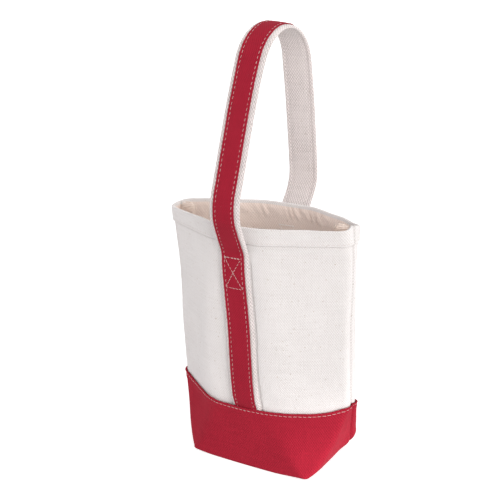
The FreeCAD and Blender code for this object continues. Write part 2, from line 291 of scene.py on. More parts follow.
def cloth_piece(name, grids, finishes, closed=False):
    """Mesh of one or more grids of cloth. Each grid is points, distances round and along for the weave,
    and the number of the finish of each row. A closed grid's rows are rings."""
    corners, faces, weave, layers = [], [], [], []
    start = 0
    for points, weave_points, row_layers in grids:
        rows, columns = points.shape[:2]
        first = np.arange(rows - 1)[:, None] * columns + start
        here = np.arange(columns if closed else columns - 1)[None]
        beside = (here + 1) % columns
        quads = (first + here, first + beside, first + columns + beside, first + columns + here)
        faces.append(np.stack(quads, axis=2).reshape(-1, 4))
        left, right = weave_points[:, :-1], weave_points[:, 1:]
        weave.append(np.stack((left[:-1], right[:-1], right[1:], left[1:]), axis=2).reshape(-1, 2))
        layers.append(np.repeat(np.asarray(row_layers)[:rows - 1], here.size))
        corners.append(points.reshape(-1, 3))
        start += rows * columns
    faces = np.concatenate(faces)
    mesh = bpy.data.meshes.new(name)
    mesh.from_pydata(np.concatenate(corners).tolist(), [], faces.tolist())
    uv = mesh.uv_layers.new(name="weave")
    uv.data.foreach_set("uv", np.concatenate(weave).astype(np.float32).ravel())
    for finish in finishes:
        mesh.materials.append(finish)
    mesh.polygons.foreach_set("material_index", np.concatenate(layers).astype(np.int32))
    mesh.polygons.foreach_set("use_smooth", np.ones(len(faces), bool))
    mesh.update()
    piece = bpy.data.objects.new(name, mesh)
    bpy.context.collection.objects.link(piece)
    return piece


class Tone:
    """A socket in a finish. Sums on tones add Math nodes to its tree."""

    def __init__(self, tree, socket=None):
        self.tree = tree
        self.socket = socket

    def node(self, kind, settings, sockets, output=0):
        """Adds a node: its settings first, then the values or links of its sockets."""
        made = self.tree.nodes.new(kind)
        for name, value in settings.items():
            setattr(made, name, value)
        for name, value in sockets.items():
            self.feed(made.inputs[name], value)
        return Tone(self.tree, made.outputs[output])

    def feed(self, socket, value):
        """Links a tone to a socket, or sets the socket's value."""
        if isinstance(value, Tone):
            self.tree.links.new(value.socket, socket)
        else:
            socket.default_value = value

    def sum(self, operation, *values):
        """Math node on numbers and tones."""
        return self.node("ShaderNodeMath", {"operation": operation}, dict(enumerate(values)))

    def __add__(self, other):
        return self.sum("ADD", self, other)

    def __sub__(self, other):
        return self.sum("SUBTRACT", self, other)

    def __rsub__(self, other):
        return self.sum("SUBTRACT", other, self)

    def __mul__(self, other):
        return self.sum("MULTIPLY", self, other)

    __radd__ = __add__
    __rmul__ = __mul__

    def sine(self):
        """Even wave between -1 and 1."""
        return self.sum("SINE", self)

    def rise(self, start, end):
        """Smooth mask, 0 below start and 1 above end."""
        return self.node("ShaderNodeMapRange", {"interpolation_type": "SMOOTHSTEP"},
                         {"Value": self, "From Min": start, "From Max": end})

    def weave(self):
        """Place in the weave of a piece, with its distances round and along apart."""
        place = self.node("ShaderNodeTexCoord", {}, {}, "UV")
        around, along = (self.node("ShaderNodeSeparateXYZ", {}, {"Vector": place}, axis) for axis in "XY")
        return place, around, along

    def noise(self, place, scale, detail):
        """Uneven grey, on both sides of a half."""
        return self.node("ShaderNodeTexNoise", {}, {"Vector": place, "Scale": scale, "Detail": detail})

    def stretch(self, place, shares):
        """Place with each axis times its share. A small share draws a pattern out along its axis."""
        return self.node("ShaderNodeVectorMath", {"operation": "MULTIPLY"}, {0: place, 1: shares})

    def bump(self, height, share, depth):
        """Normal of a surface raised by a height."""
        return self.node("ShaderNodeBump", {}, {"Strength": share, "Distance": depth, "Height": height})

    def mix(self, share, first, second):
        """Colour between two colours."""
        return self.node("ShaderNodeMix", {"data_type": "RGBA"}, {0: share, 6: first, 7: second}, 2)


def start_finish(name):
    """New material: the material, its shader and a tone to build from."""
    material = bpy.data.materials.new(name)
    material.use_nodes = True
    tree = material.node_tree
    return material, tree.nodes["Principled BSDF"], Tone(tree)


WARP_PITCH, WEFT_PITCH = 0.0013, 0.0017
YARN_WANDER = 0.0022
SLUB_SHARE = 0.06
# Scale per metre and detail of the cloth's unevenness
WANDER_NOISE, WARP_SLUB_NOISE, WEFT_SLUB_NOISE = (90.0, 2.0), (700.0, 2.0), (500.0, 2.0)
DRIFT_NOISE, SEED_NOISE, LINT_NOISE = (26.0, 3.0), (420.0, 1.0), (1100.0, 3.0)
WEAVE_RELIEF_SHARE, SLUB_RELIEF_SHARE, LINT_RELIEF_SHARE = 0.36, 0.4, 0.3
# Tone shares: the weave's share is painted shade in its hollows and painted light on its crests; slubs and
# lint are the yarns' own uneven tone.
WEAVE_TONE_SHARE, SLUB_TONE_SHARE, LINT_TONE_SHARE, DARK_TONE_SHARE = 0.32, 0.34, 0.55, 0.12
DRIFT_START_SHARE, DRIFT_END_SHARE, DRIFT_TINT_SHARE = 0.42, 0.66, 0.4
FLECK_EDGE_SHARE, FLECK_TINT_SHARE = 0.03, 0.5
LINT_ROUGH_SHARE, FUZZ_ROUGH_SHARE, CANVAS_GLOSS_SHARE = 0.12, 0.5, 0.12
RELIEF_SHARE, RELIEF_DEPTH = 0.6, 0.0004


def canvas_finish(name, yarn_share, lean_share, crest, hollow, tint, fleck, fleck_share,
                  rough, matte, fuzz):
    """Woven cotton canvas: round yarns over and under each other, uneven in thickness, with a broad drift
    of colour, stray flecks of seed and a soft fuzz. Shade is painted into the weave's hollows and light
    onto its crests, mixed with the yarns' own uneven tone. The lean share says which way the ribs run."""
    material, shader, tone = start_finish(name)
    place, around, along = tone.weave()
    wander = tone.noise(place, *WANDER_NOISE) * YARN_WANDER
    warp = (around + wander) * (math.pi / WARP_PITCH / yarn_share)
    weft = (along + wander) * (math.pi / WEFT_PITCH / yarn_share)
    falling = (warp - weft + math.pi / 2).sine()
    rising = (warp + weft + math.pi / 2).sine()
    relief = falling * lean_share - rising * (1 - lean_share)
    warp_slubs = tone.noise(tone.stretch(place, (1, SLUB_SHARE, 1)), *WARP_SLUB_NOISE)
    weft_slubs = tone.noise(tone.stretch(place, (SLUB_SHARE, 1, 1)), *WEFT_SLUB_NOISE)
    slubs = warp_slubs + weft_slubs
    drift = tone.noise(place, *DRIFT_NOISE).rise(DRIFT_START_SHARE, DRIFT_END_SHARE)
    seeds = tone.noise(place, *SEED_NOISE).rise(fleck_share, fleck_share + FLECK_EDGE_SHARE)
    lint = tone.noise(place, *LINT_NOISE)
    height = relief * WEAVE_RELIEF_SHARE + slubs * SLUB_RELIEF_SHARE + lint * LINT_RELIEF_SHARE
    # Colour between hollow and crest: painted shade and light from the weave, plus the yarns' own
    # unevenness.
    light = relief * WEAVE_TONE_SHARE + slubs * SLUB_TONE_SHARE + lint * LINT_TONE_SHARE - DARK_TONE_SHARE
    colour = tone.mix(light.rise(0, 1), hollow, crest)
    colour = tone.mix(drift * DRIFT_TINT_SHARE, colour, tint)
    colour = tone.mix(seeds * FLECK_TINT_SHARE, colour, fleck)
    tone.feed(shader.inputs["Base Color"], colour)
    tone.feed(shader.inputs["Roughness"], lint * LINT_ROUGH_SHARE + rough)
    tone.feed(shader.inputs["Normal"], tone.bump(height, RELIEF_SHARE, RELIEF_DEPTH))
    shader.inputs["Diffuse Roughness"].default_value = matte
    shader.inputs["Specular IOR Level"].default_value = CANVAS_GLOSS_SHARE
    shader.inputs["Sheen Weight"].default_value = fuzz
    shader.inputs["Sheen Roughness"].default_value = FUZZ_ROUGH_SHARE
    return material


natural_canvas = canvas_finish(
    "natural_canvas", yarn_share=1.0, lean_share=0.62, crest=(0.93, 0.905, 0.897, 1),
    hollow=(0.705, 0.671, 0.656, 1), tint=(0.85, 0.822, 0.812, 1), fleck=(0.45, 0.36, 0.27, 1),
    fleck_share=0.70, rough=0.82, matte=1.0, fuzz=0.08)
# Inside of the panels and of the bound seam edges: the same undyed canvas, painted warmer and brighter to
# stand in for the bounce light inside the bag.
inside_canvas_painted_bounce = canvas_finish(
    "inside_canvas_painted_bounce", yarn_share=1.25, lean_share=0.36, crest=(1.0, 0.905, 0.845, 1),
    hollow=(0.79, 0.68, 0.62, 1), tint=(0.92, 0.815, 0.75, 1), fleck=(0.40, 0.31, 0.23, 1),
    fleck_share=0.70, rough=0.86, matte=1.0, fuzz=0.05)

FOOT_BEND_STEPS, RIM_STEPS, HEM_EDGE_STEPS = 6, 11, 5
INSIDE_STEPS, HEM_STEPS, OUTSIDE_STEPS, BASE_STEPS = 118, 14, 109, 8


def panel_profile():
    """Heights and reaches of a panel's section: up the inside, over the rim, down the hem and the outside.
    The last value is the number of its rows on the inside."""
    inner = -CANVAS_THICKNESS
    bend = np.linspace(0, math.pi / 2, FOOT_BEND_STEPS)
    rim_radius = (HEM_FOLD + CANVAS_THICKNESS) / 2
    rim_middle = HEM_FOLD - rim_radius
    over = np.linspace(math.pi, 0, RIM_STEPS)
    hem_foot = RIM_HEIGHT - HEM_DEPTH
    edge = np.linspace(0, math.pi / 2, HEM_EDGE_STEPS)
    inside_foot = FOOT_HEIGHT + CANVAS_THICKNESS
    heights = (inside_foot + FOOT_BEND * (1 - np.cos(bend)),
               np.linspace(inside_foot + FOOT_BEND, RIM_HEIGHT - rim_radius, INSIDE_STEPS + 2)[1:-1],
               RIM_HEIGHT - rim_radius + rim_radius * np.sin(over),
               np.linspace(RIM_HEIGHT - rim_radius, hem_foot + HEM_EDGE_RADIUS, HEM_STEPS + 2)[1:-1],
               hem_foot + HEM_EDGE_RADIUS * (1 - np.sin(edge)),
               np.array((hem_foot, hem_foot - HEM_EDGE_RADIUS)),
               np.linspace(hem_foot - 2 * HEM_EDGE_RADIUS, FOOT_HEIGHT + FOOT_BEND, OUTSIDE_STEPS + 1)[:-1],
               FOOT_HEIGHT + FOOT_BEND * (1 - np.cos(bend[::-1])))
    reaches = (inner - FOOT_BEND * (1 - np.sin(bend)),
               np.full(INSIDE_STEPS, inner),
               rim_middle + rim_radius * np.cos(over),
               np.full(HEM_STEPS, HEM_FOLD),
               HEM_FOLD - HEM_EDGE_RADIUS * (1 - np.cos(edge)),
               np.array((-HEM_UNDERCUT, -HEM_UNDERCUT)),
               np.zeros(OUTSIDE_STEPS),
               -FOOT_BEND * (1 - np.sin(bend[::-1])))
    return np.concatenate(heights), np.concatenate(reaches), FOOT_BEND_STEPS + INSIDE_STEPS - 1


def run_lengths(path):
    """Distance of each point of a path from its first, along the path."""
    return np.concatenate(([0], np.cumsum(np.linalg.norm(np.diff(path, axis=0), axis=1))))


def row_lengths(points):
    """Distance along the rows at the middle of a grid."""
    return run_lengths(points[:, points.shape[1] // 2])


def weave_grid(around, along):
    """Places in the weave: distances round the rows of a grid and one distance along for each row."""
    return np.stack((around, np.broadcast_to(along[:, None], around.shape)), axis=2)


def panel_grid(side):
    """One panel with its half of the base: from the base's seam up the inside and down the outside."""
    heights, reaches, inside_rows = panel_profile()
    points, normals, around, behind = bag_cloth(side, heights, reaches)
    inside = np.arange(len(heights)) < inside_rows
    levels = heights[:, None]
    folds = tuck(around, behind, levels) + inside[:, None] * pucker(around, levels, side)
    points -= normals * folds[:, :, None]
    shares = np.linspace(1, 0, BASE_STEPS, endpoint=False)
    points = np.concatenate((base_rows(points[0], shares), points, base_rows(points[-1], shares[::-1])))
    around = np.pad(around, ((BASE_STEPS, BASE_STEPS), (0, 0)), "edge")
    # Faces on the inside, up to the last band below the rim, take the inside finish with its painted bounce
    # light; the rest take the natural canvas.
    layers = np.where(np.arange(len(points)) < inside_rows + BASE_STEPS, 1, 0)
    return points, weave_grid(around, row_lengths(points)), layers


panels = {}
for side, word in ((FRONT, "front"), (BACK, "back")):
    panel = cloth_piece(f"{word}_canvas", [panel_grid(side)], [natural_canvas, inside_canvas_painted_bounce])
    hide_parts(f"{word}_panel")
    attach(panel, "bag")
    panels[side] = panel


# Side seams
# The panels' cut edges stand inwards down each side, bound together by overlock thread that loops round
# them from the base to the rim. The loops are loose and thick enough to be seen at the mouth.
SEAM_WIDTH = 0.009
SEAM_THICKNESS = 0.0030
SEAM_GAP = 0.0003
ROLL_WIDTH, ROLL_THICKNESS = 0.008, 0.0060
ROLL_HEIGHT, ROLL_SPREAD = 0.280, 0.030
SEAM_FOOT, SEAM_RISE = 0.012, 0.0008
SEAM_WAVE, SEAM_WAVE_SHARE, SEAM_SEED = 0.016, 0.2, 61
SEAM_WIDTH_POWER, SEAM_THICKNESS_POWER = 0.6, 0.7
SEAM_STEPS, SEAM_CAP_STEPS, SEAM_SIDES = 129, 8, 20
LOOP_PITCH = 0.0018
LOOP_THREAD = 0.0005
LOOP_STEPS, THREAD_SIDES = 15, 6
# A direction that no turn of the loops runs along
LOOP_REFERENCE = (0.31, 0.17, 0.93)


def tube_grid(path, radius, sides):
    """Round thread along a path of points."""
    ahead = np.gradient(path, axis=0)
    ahead /= np.linalg.norm(ahead, axis=1, keepdims=True)
    across = np.cross(ahead, LOOP_REFERENCE)
    across /= np.linalg.norm(across, axis=1, keepdims=True)
    out = np.cross(ahead, across)
    turn = np.linspace(0, 2 * math.pi, sides, endpoint=False)[None, :, None]
    return path[:, None] + radius * (np.cos(turn) * across[:, None] + np.sin(turn) * out[:, None])


def ring_weave(points, girth):
    """Weave distances for a closed grid: round its rings and along its rows."""
    round_share = np.linspace(0, 1, points.shape[1] + 1)
    around = np.broadcast_to(round_share * girth, (len(points), points.shape[1] + 1))
    return weave_grid(around, row_lengths(points))


def seam_tip(height, side):
    """How far out the inside of a side seam is at a height."""
    ends = bag_ring(height)[(0, -1), 0]
    return max(side * ends) - CANVAS_THICKNESS - GROOVE_DEPTH - SEAM_GAP


def seam_ring(side, turn, height, swell, skin, shrink):
    """Places round the folded edges of one side at a height. They roll up thicker at the mouth."""
    roll = hump(height - ROLL_HEIGHT, ROLL_SPREAD)
    half_width = (SEAM_WIDTH + ROLL_WIDTH * roll) / 2
    half_thickness = (SEAM_THICKNESS + ROLL_THICKNESS * roll) / 2 * swell
    x = (half_width + skin) * np.sign(np.cos(turn)) * np.abs(np.cos(turn)) ** SEAM_WIDTH_POWER
    y = (half_thickness + skin) * np.sign(np.sin(turn)) * np.abs(np.sin(turn)) ** SEAM_THICKNESS_POWER
    middle = seam_tip(height, side) - half_width - skin
    return np.stack((side * (middle + x * shrink), y * shrink), axis=1)


PLY_RATE_ALONG, PLY_RATE_AROUND = 5200.0, 2400.0
PLY_RELIEF_SHARE, PLY_DEPTH = 0.4, 0.0001
THREAD_ROUGH_SHARE, THREAD_FUZZ_SHARE = 0.7, 0.2


def thread_finish(name, between, ply):
    """Twisted cotton thread, with shade painted between its plies."""
    material, shader, tone = start_finish(name)
    _, around, along = tone.weave()
    plies = (along * PLY_RATE_ALONG + around * PLY_RATE_AROUND).sine() * 0.5 + 0.5
    tone.feed(shader.inputs["Base Color"], tone.mix(plies, between, ply))
    tone.feed(shader.inputs["Normal"], tone.bump(plies, PLY_RELIEF_SHARE, PLY_DEPTH))
    shader.inputs["Roughness"].default_value = THREAD_ROUGH_SHARE
    shader.inputs["Sheen Weight"].default_value = THREAD_FUZZ_SHARE
    return material


# Overlock thread tinted warm salmon: the warm bounce light inside the bag is painted into its colour.
overlock_thread_painted_bounce = thread_finish("overlock_thread_painted_bounce", (0.78, 0.62, 0.52, 1), (1.0, 0.90, 0.82, 1))


def seam_grids(side):
    """The bound edges of one side, rounded off at the top, and the loops of thread wound round them."""
    top = RIM_HEIGHT + SEAM_RISE
    cap = np.linspace(0, math.pi / 2, SEAM_CAP_STEPS)
    cap_foot = top - ROLL_THICKNESS
    heights = np.concatenate((np.linspace(FOOT_HEIGHT + SEAM_FOOT, cap_foot, SEAM_STEPS + 1)[:-1],
                              top - ROLL_THICKNESS * (1 - np.sin(cap))))
    shrinks = np.concatenate((np.ones(SEAM_STEPS), np.cos(cap)))
    swell = 1 + SEAM_WAVE_SHARE * ripple(heights, 0, SEAM_WAVE, SEAM_SEED + side)
    turn = np.linspace(0, 2 * math.pi, SEAM_SIDES, endpoint=False)
    flat = np.array([seam_ring(side, turn, *row) for row in zip(heights, swell, 0 * heights, shrinks)])
    core = np.concatenate((flat, np.broadcast_to(heights[:, None, None], flat.shape[:2] + (1,))), axis=2)
    grids = [(core, ring_weave(core, 2 * SEAM_WIDTH), np.zeros(len(core)))]
    turn = np.linspace(0, 2 * math.pi, LOOP_STEPS)
    for height in np.arange(heights[0], top, LOOP_PITCH):
        lift = height + LOOP_PITCH * turn / (2 * math.pi)
        spread = np.interp(height, heights, swell)
        shrink = np.interp(height, heights, shrinks)
        ring = seam_ring(side, turn, height, spread, LOOP_THREAD, shrink)
        path = np.concatenate((ring, lift[:, None]), axis=1)
        loop = tube_grid(path, LOOP_THREAD, THREAD_SIDES)
        grids.append((loop, ring_weave(loop, 2 * math.pi * LOOP_THREAD), np.ones(len(loop))))
    return grids


for side, word in ((LEFT, "left"), (RIGHT, "right")):
    # The bound edges take the inside canvas and the loops the overlock thread, both with painted bounce
    # light.
    finishes = [inside_canvas_painted_bounce, overlock_thread_painted_bounce]
    seam = cloth_piece(f"{word}_overlocked_edge", seam_grids(side), finishes, closed=True)
    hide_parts(f"{word}_side_seam")
    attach(seam, "bag")


# Boot
# A cup of red canvas sewn round the base. Its front and back meet in a seam down each side, its top edge
# is folded under, and straight creases run up from the corners of the flat base.
BOOT_GAP = 0.0002
BOOT_THICKNESS = 0.0016
BOOT_FOLD = 0.0007
BOOT_FOLD_DEPTH = 0.010
BOOT_FOLD_SHARE = 0.6
BOOT_ROW_DROP = 0.0032
BOOT_ROW_DIP = 0.0003
BOOT_ROW_WIDTH = 0.0012
BOOT_OUTSIDE = BOOT_GAP + BOOT_THICKNESS
BOOT_BEND_STEPS, BOOT_EDGE_STEPS, BOOT_FOLD_STEPS, BOOT_WALL_STEPS = 8, 9, 7, 58

red_canvas = canvas_finish(
    "red_canvas", yarn_share=1.0, lean_share=0.6, crest=(0.470, 0.0182, 0.042, 1),
    hollow=(0.255, 0.0080, 0.0205, 1), tint=(0.395, 0.0153, 0.0342, 1), fleck=(0.50, 0.10, 0.11, 1),
    fleck_share=0.76, rough=0.80, matte=0.0, fuzz=0.02)


def boot_profile():
    """Heights and reaches of the boot's section: up the inside, over the fold and down the outside."""
    bend = np.linspace(0, math.pi / 2, BOOT_BEND_STEPS)
    radius = (BOOT_THICKNESS + BOOT_FOLD) / 2
    over = np.linspace(math.pi, 0, BOOT_EDGE_STEPS)
    fold_foot = BOOT_HEIGHT - BOOT_FOLD_DEPTH
    heights = (np.linspace(fold_foot, BOOT_HEIGHT - radius, BOOT_FOLD_STEPS + 1)[:-1],
               BOOT_HEIGHT - radius + radius * np.sin(over),
               np.linspace(BOOT_HEIGHT - radius, FOOT_BEND, BOOT_WALL_STEPS + 2)[1:-1],
               FOOT_BEND * (1 - np.cos(bend[::-1])))
    wall = heights[2]
    swelling = BOOT_FOLD * ease(wall, fold_foot, BOOT_HEIGHT - BOOT_FOLD_SHARE * BOOT_FOLD_DEPTH)
    row = BOOT_ROW_DIP * hump(wall - BOOT_HEIGHT + BOOT_ROW_DROP, BOOT_ROW_WIDTH)
    reaches = (np.full(BOOT_FOLD_STEPS, BOOT_GAP),
               BOOT_GAP + radius + radius * np.cos(over),
               BOOT_OUTSIDE + swelling - row,
               BOOT_OUTSIDE - FOOT_BEND * (1 - np.sin(bend[::-1])))
    return np.concatenate(heights), np.concatenate(reaches)


SWELL, SWELL_WIDTH = 0.0024, 0.030
EDGE_START, EDGE_FULL = 0.030, 0.066
EDGE_GAPE = 0.0010


def boot_cloth(side, heights, reaches):
    """Rows round one half of the boot. Its edge gapes above its row of stitches, stands out over the
    strap's end and rises to the side seams."""
    points, normals, around, behind = bag_cloth(side, heights, reaches)
    heights = np.asarray(heights, float)[:, None]
    edge = ease(heights, EDGE_START, EDGE_FULL)
    gape = EDGE_GAPE * ease(heights, BOOT_HEIGHT - BOOT_ROW_DROP, BOOT_HEIGHT)
    points += normals * (SWELL * hump(around, SWELL_WIDTH) * edge + gape)[:, :, None]
    points[:, :, 2] += edge_lift(behind) * edge
    return points, normals, around


def boot_grid(side):
    """One half of the boot, from the fold inside its edge to the seam along the middle of its base."""
    heights, reaches = boot_profile()
    points, _, around = boot_cloth(side, heights, reaches)
    shares = np.linspace(0, 1, BASE_STEPS + 1)[1:]
    points = np.concatenate((points, base_rows(points[-1], shares)))
    around = np.pad(around, ((0, BASE_STEPS), (0, 0)), "edge")
    return points, weave_grid(around, row_lengths(points)), np.zeros(len(points))


boot = cloth_piece("red_boot", [boot_grid(FRONT), boot_grid(BACK)], [red_canvas])
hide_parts("boot")
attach(boot, "bag")


# Strap
# One long strip of the natural canvas, folded to several layers with soft round edges. It is sewn up the
# front from under the boot's edge to the box stitch, arches over as the handle and comes down the back.
STRAP_WIDTH = 0.0370
STRAP_THICKNESS = 0.0041
STRAP_GAP = 0.0004
STRAP_END = 0.062
END_DIP, END_DIP_START, END_DIP_TOP = 0.0038, 0.064, 0.084
BEND_RADIUS = 0.020
BULGE_REACH = 0.0263
BULGE_HEIGHT = 0.308
BULGE_RADIUS = 0.045
GRIP_RADIUS = 0.046
GRIP_SHIFT = 0.016
GRIP_HEIGHT = 0.437
STRAP_STEP = 0.002
SWAY_HEIGHTS = (0.060, 0.166, 0.246, 0.308, 0.400, 0.440, 0.484)
FRONT_SWAYS = (0.0048, 0.0045, -0.0036, 0.0075, 0.0075, 0.0086, 0.0128)
BACK_SWAYS = (0.003, 0.003, 0.000, 0.0060, 0.0108, 0.0116, 0.0126)
TILT_SHARE, TILT_START, TILT_END = 0.07, 0.430, 0.475
STRAP_EDGE = 0.0041
ROW_REACH, MARGIN_REACH = 0.0108, 0.0136
# Furrows: distance from the strap's middle, depth and spread
ROW_FURROW = (ROW_REACH, 0.0005, 0.0010)
INNER_FURROWS = (ROW_FURROW, (MARGIN_REACH, 0.0010, 0.0016))
OUTER_FURROWS = (ROW_FURROW, (MARGIN_REACH, 0.0004, 0.0010))
EDGE_STEPS, FACE_STEPS, ARC_STEPS, LEG_STEPS = 13, 71, 40, 60
LINE_PASSES, SWAY_PASSES = 6, 120


def arc_points(centre, radius, first, last):
    """Points along an arc in the Y-Z plane, between two angles from the +Y axis."""
    turn = np.linspace(first, last, ARC_STEPS)
    return np.stack((centre[0] + radius * np.cos(turn), centre[1] + radius * np.sin(turn)), axis=1)


def panel_depth(height):
    """How far out the middle of a panel's outer face is at a height."""
    ring = bag_ring(height)
    return -ring[len(ring) // 2, 1]


def leg_line(side):
    """Middle of the strap on one side, from its end under the boot up to the grip."""
    rise = np.linspace(STRAP_END, RELEASE_HEIGHT, LEG_STEPS)
    depth = np.array([panel_depth(height) for height in rise])
    dip = END_DIP * (1 - ease(rise, END_DIP_START, END_DIP_TOP))
    middle = depth + STRAP_GAP + STRAP_THICKNESS / 2 - dip
    release = middle[-1]
    reach = release + BULGE_REACH
    low = (release + BEND_RADIUS, RELEASE_HEIGHT)
    high = (reach - BULGE_RADIUS, BULGE_HEIGHT)
    across, up = low[0] - high[0], high[1] - low[1]
    turn = math.asin((BEND_RADIUS + BULGE_RADIUS) / math.hypot(across, up)) - math.atan2(across, up)
    span = high[0] - side * GRIP_SHIFT
    climb = GRIP_HEIGHT - BULGE_HEIGHT
    closing = (GRIP_RADIUS - BULGE_RADIUS) / math.hypot(span, climb)
    lean = math.atan2(span, climb) - math.asin(closing)
    grip = (side * GRIP_SHIFT, GRIP_HEIGHT)
    line = np.concatenate((np.stack((middle, rise), axis=1),
                           arc_points(low, BEND_RADIUS, math.pi, math.pi - turn)[1:],
                           arc_points(high, BULGE_RADIUS, -turn, lean),
                           arc_points(grip, GRIP_RADIUS, lean, math.pi / 2)[:-1]))
    return line * (side, 1)


def smooth(values, passes):
    """Evens out a run of values between its ends."""
    for _ in range(passes):
        values[1:-1] = (values[:-2] + 2 * values[1:-1] + values[2:]) / 4
    return values


def strap_line():
    """Middle of the whole strap from front to back at even steps: distance along, places and normals."""
    line = np.concatenate((leg_line(FRONT), leg_line(BACK)[::-1]))
    along = run_lengths(line)
    even = np.linspace(0, along[-1], round(along[-1] / STRAP_STEP))
    places = smooth(read_along(even, along, line), LINE_PASSES)
    ahead = np.gradient(places, axis=0)
    ahead /= np.linalg.norm(ahead, axis=1, keepdims=True)
    return even, places, np.stack((-ahead[:, 1], ahead[:, 0]), axis=1)


def sway_along(places):
    """How far the strap wanders to the right, smoothed along its run."""
    front = np.interp(places[:, 1], SWAY_HEIGHTS, FRONT_SWAYS)
    back = np.interp(places[:, 1], SWAY_HEIGHTS, BACK_SWAYS)
    return smooth(np.where(places[:, 0] < 0, front, back), SWAY_PASSES)


strap_along, strap_places, strap_normals = strap_line()
strap_sway = sway_along(strap_places)
strap_tilt = TILT_SHARE * ease(strap_places[:, 1:], TILT_START, TILT_END)


def on_strap(across, off):
    """Points across the strap's width and off its middle layer, all along its run."""
    off = off - strap_tilt * across
    x = across + strap_sway[:, None]
    y = strap_places[:, :1] + strap_normals[:, :1] * off
    z = strap_places[:, 1:] + strap_normals[:, 1:] * off
    return np.stack((x, y, z), axis=2)


def furrow(across, rows):
    """Depth of the furrows along a strip that its rows of stitching and its turned-in edges leave."""
    return sum((depth * hump(np.abs(across) - reach, spread) for reach, depth, spread in rows), 0 * across)


def strip_ring(width, thickness, edge_reach, middle, crown, inner_rows, outer_rows):
    """Section of a folded strip: furrowed faces, edges that round off over a reach and a crown outside."""
    turn = np.linspace(-math.pi / 2, math.pi / 2, EDGE_STEPS)
    flat = width / 2 - edge_reach
    face = flat * np.linspace(-1, 1, FACE_STEPS)[1:-1]
    edge = flat + edge_reach * np.cos(turn)
    inner = thickness / 2 - furrow(face, inner_rows)
    outer = thickness / 2 - furrow(face, outer_rows) + crown * (1 - (face / flat) ** 2)
    edge_furrow = np.where(turn < 0, furrow(edge, inner_rows), furrow(edge, outer_rows))
    round_off = (thickness / 2 - edge_furrow) * np.sin(turn)
    across = np.concatenate((face, edge, -face, -edge))
    return across, middle + np.concatenate((-inner, round_off, outer, round_off[::-1]))


def strip_girth(across, off):
    """Distances round a strip's section, back to where it starts."""
    return run_lengths(np.stack((np.append(across, across[0]), np.append(off, off[0])), axis=1))


def strip_piece(name, ring, spread, waves, finish):
    """A strip all along the strap: its section, how far that spreads, and waves that lift it a little."""
    across, off = ring
    points = on_strap(across * spread, off + waves)
    girth = np.broadcast_to(strip_girth(across, off), (len(points), len(across) + 1))
    grid = (points, weave_grid(girth, strap_along), np.zeros(len(points)))
    return cloth_piece(name, [grid], [finish], closed=True)


def follow_handle(piece):
    """Bakes the piece's placement into its mesh; it is attached to no body."""
    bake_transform(piece)


# The strap's canvas is painted brighter and pinker than the natural canvas: the light on its margins and
# the pinkish shade on its inner face are painted into its colour.
strap_canvas_painted_shading = canvas_finish(
    "strap_canvas_painted_shading", yarn_share=1.25, lean_share=0.6, crest=(1.0, 0.932, 0.917, 1),
    hollow=(0.52, 0.469, 0.454, 1), tint=(0.82, 0.763, 0.748, 1), fleck=(0.42, 0.34, 0.27, 1),
    fleck_share=0.70, rough=0.84, matte=1.0, fuzz=0.08)
strap_ring = strip_ring(STRAP_WIDTH, STRAP_THICKNESS, STRAP_EDGE, 0, 0, INNER_FURROWS, OUTER_FURROWS)
strap = strip_piece("canvas_strap", strap_ring, 1, 0, strap_canvas_painted_shading)
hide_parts("front_strap", "back_strap", "front_strap_bend", "back_strap_bend", "handle_strap")
follow_handle(strap)

DRAWN_IN, DRAWN_WIDTH, DRAWN_FADE = 0.0012, 0.0012, 0.012


def sewn_leg(side):
    """Steps of the strap's run on one side, from its end up to the bulge of the handle."""
    leg = np.flatnonzero((strap_places[:, 0] * side > 0) & (strap_places[:, 1] < BULGE_HEIGHT))
    return leg[np.argsort(strap_places[leg, 1])]


def draw_in(panel, side):
    """The strap's sewing draws the panel in along both its edges."""
    spots = np.empty((len(panel.data.vertices), 3), np.float32)
    panel.data.vertices.foreach_get("co", spots.ravel())
    leg = sewn_leg(side)
    middle = np.interp(spots[:, 2], strap_places[leg, 1], strap_sway[leg])
    crease = hump(np.abs(spots[:, 0] - middle) - STRAP_WIDTH / 2, DRAWN_WIDTH)
    held = 1 - ease(spots[:, 2], RELEASE_HEIGHT - DRAWN_FADE, RELEASE_HEIGHT)
    spots[:, 1] -= side * DRAWN_IN * crease * held
    panel.data.vertices.foreach_set("co", spots.ravel())
    panel.data.update()


for side, panel in panels.items():
    draw_in(panel, side)


# Trim
# A narrower strip of red canvas with its edges folded under, laid along the outside of the whole strap.
# Two rows of stitching hold it and pull small furrows into it.
TRIM_WIDTH = 0.0286
TRIM_THICKNESS = 0.0012
TRIM_EDGE = 0.0016
TRIM_GAP = 0.0002
TRIM_MIDDLE = STRAP_THICKNESS / 2 + TRIM_GAP + TRIM_THICKNESS / 2
TRIM_CROWN = 0.0003
TRIM_SLACK, TRIM_WAVE, TRIM_SEED = 0.00014, 0.012, 70
NARROW_SHARE, NARROW_START, NARROW_END = 0.09, 0.250, 0.320

